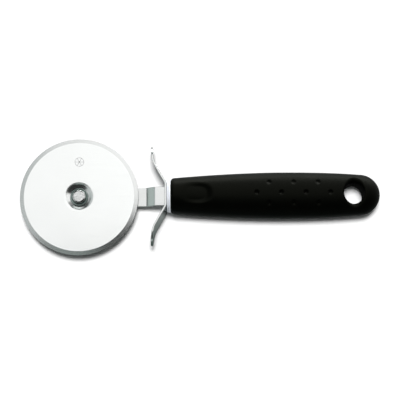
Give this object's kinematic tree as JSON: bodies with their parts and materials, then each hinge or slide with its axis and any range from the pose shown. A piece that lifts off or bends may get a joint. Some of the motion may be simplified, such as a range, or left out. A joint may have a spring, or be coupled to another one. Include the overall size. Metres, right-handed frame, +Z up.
{
  "type": "pastry cutter wheel",
  "caption": "Hand-held pastry and pizza cutter: a bevelled steel wheel on a riveted arm, a winged finger guard and a moulded grip with a hanging hole.",
  "frame": {"origin": "centre of the bounding box's bottom face, with the tool lying flat on its grip", "axes": "+X from the cutting wheel to the handle's round end, +Y across the grip, +Z up along the wheel's axis"},
  "size_m": [0.2128, 0.07, 0.0216],
  "materials": {
    "blade_steel": "satin polished",
    "rivet_steel": "polished",
    "strip_steel": "polished along the strip",
    "white_plastic": "smooth",
    "black_plastic": "satin"
  },
  "bodies": {
    "handle": {"wheel_rivet": "rivet_steel", "head_washer": "rivet_steel", "spacer_washer": "rivet_steel", "arm": "strip_steel", "finger_guard": "strip_steel", "collar": "white_plastic", "handle_core": "white_plastic", "handle_grip": "black_plastic"},
    "wheel": {"blade_wheel": "blade_steel"}
  },
  "joints": [
    {"name": "wheel_spin", "type": "hinge", "parent": "handle", "child": "wheel", "pos_m": [-0.07142, 0, 0.0108], "axis": [0, 0, 1], "continuous": true}
  ]
}
